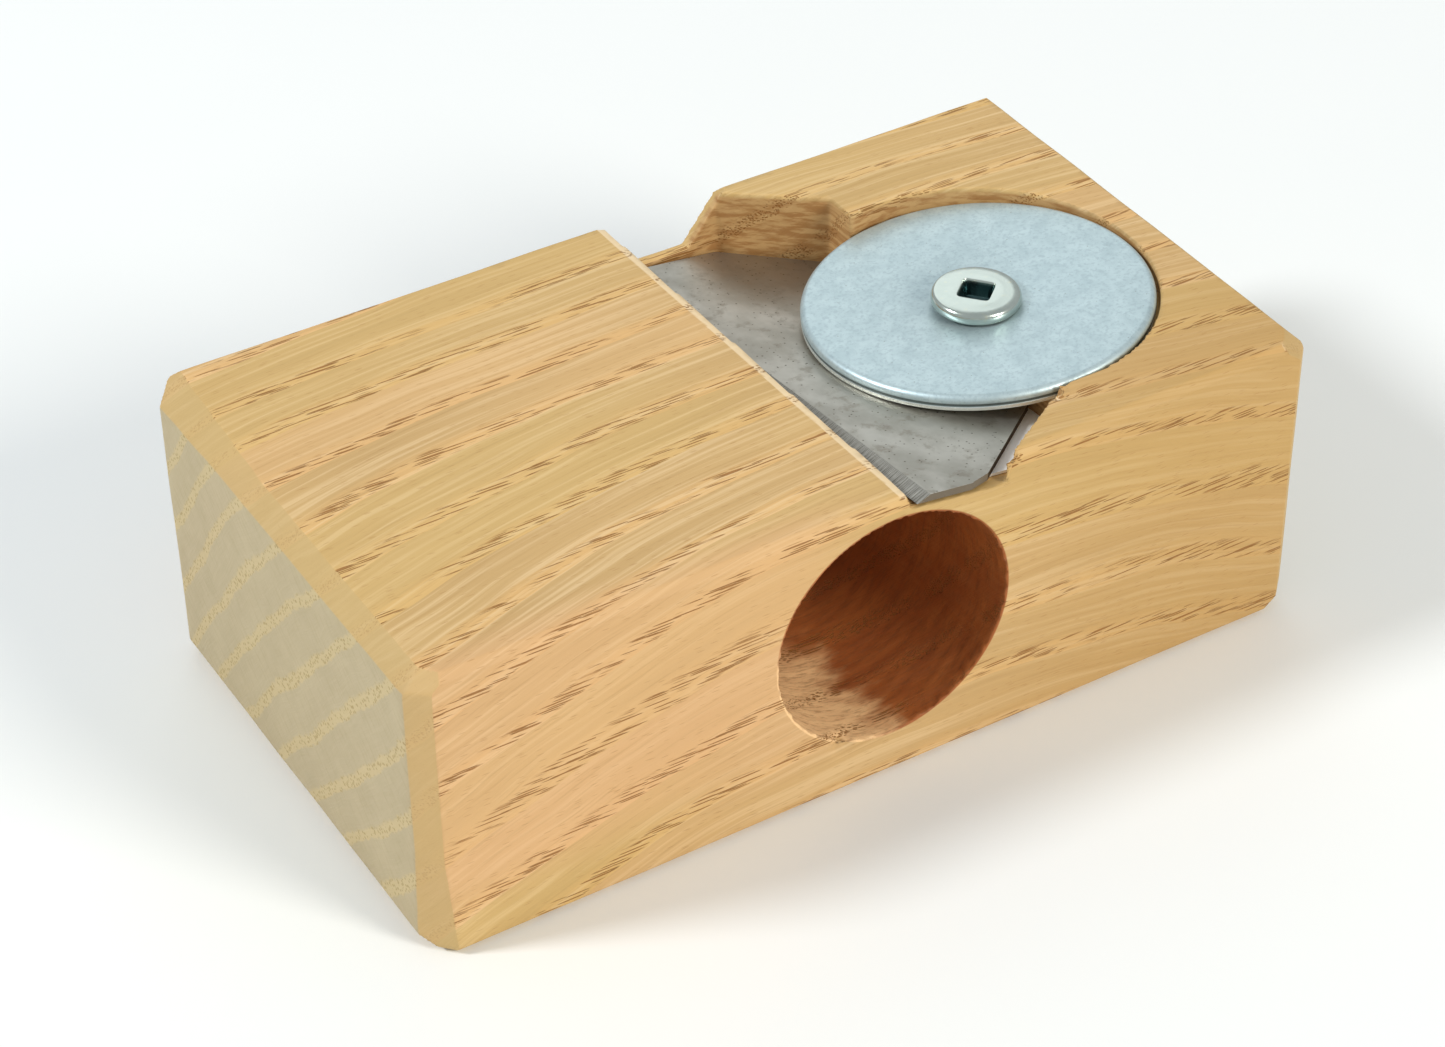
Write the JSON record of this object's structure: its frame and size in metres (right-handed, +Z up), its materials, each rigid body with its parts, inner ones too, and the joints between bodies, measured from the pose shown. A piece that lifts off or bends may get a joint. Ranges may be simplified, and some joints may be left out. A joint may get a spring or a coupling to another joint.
{
  "type": "dowel rounding plane",
  "caption": "Small wooden hand plane for rounding dowels: a hardwood block with a tapered cross bore, a flat blade laid over it and a large washer and screw that clamp the blade.",
  "frame": {"origin": "middle of the block's underside", "axes": "+X along the block from the toe to the heel, +Y across it from the infeed side to the outfeed side, +Z up"},
  "size_m": [0.0892, 0.049, 0.0305],
  "materials": {
    "wood": "bare ring-porous hardwood, sanded",
    "blade_steel": "grey tool steel, stained, ground bevel",
    "card": "matte white card",
    "zinc_plate": "satin zinc plate, slightly blue",
    "bright_zinc": "bright zinc plate"
  },
  "bodies": {
    "block": {"body": "wood", "blade_shim": "card"},
    "blade": {"blade": "blade_steel"},
    "washer": {"clamp_washer": "zinc_plate"},
    "screw": {"clamp_screw": "bright_zinc"}
  },
  "joints": [
    {"name": "clamp_lift", "type": "slide", "parent": "block", "child": "washer", "axis": [0, 0, 1], "range_m": [0, 0.00338]},
    {"name": "screw_turn", "type": "hinge", "parent": "washer", "child": "screw", "pos_m": [0.02301, -0.0032, 0.029], "axis": [0, 0, 1], "range_deg": [0, 721]},
    {"name": "blade_shift", "type": "slide", "parent": "block", "child": "blade", "axis": [-0.9912, -0.0142, 0.1318], "range_m": [-0.0003, 0.0005]}
  ],
  "couplings": [
    {"joint": "screw_turn", "follows": "clamp_lift", "rad_per_m": 3717.9}
  ]
}
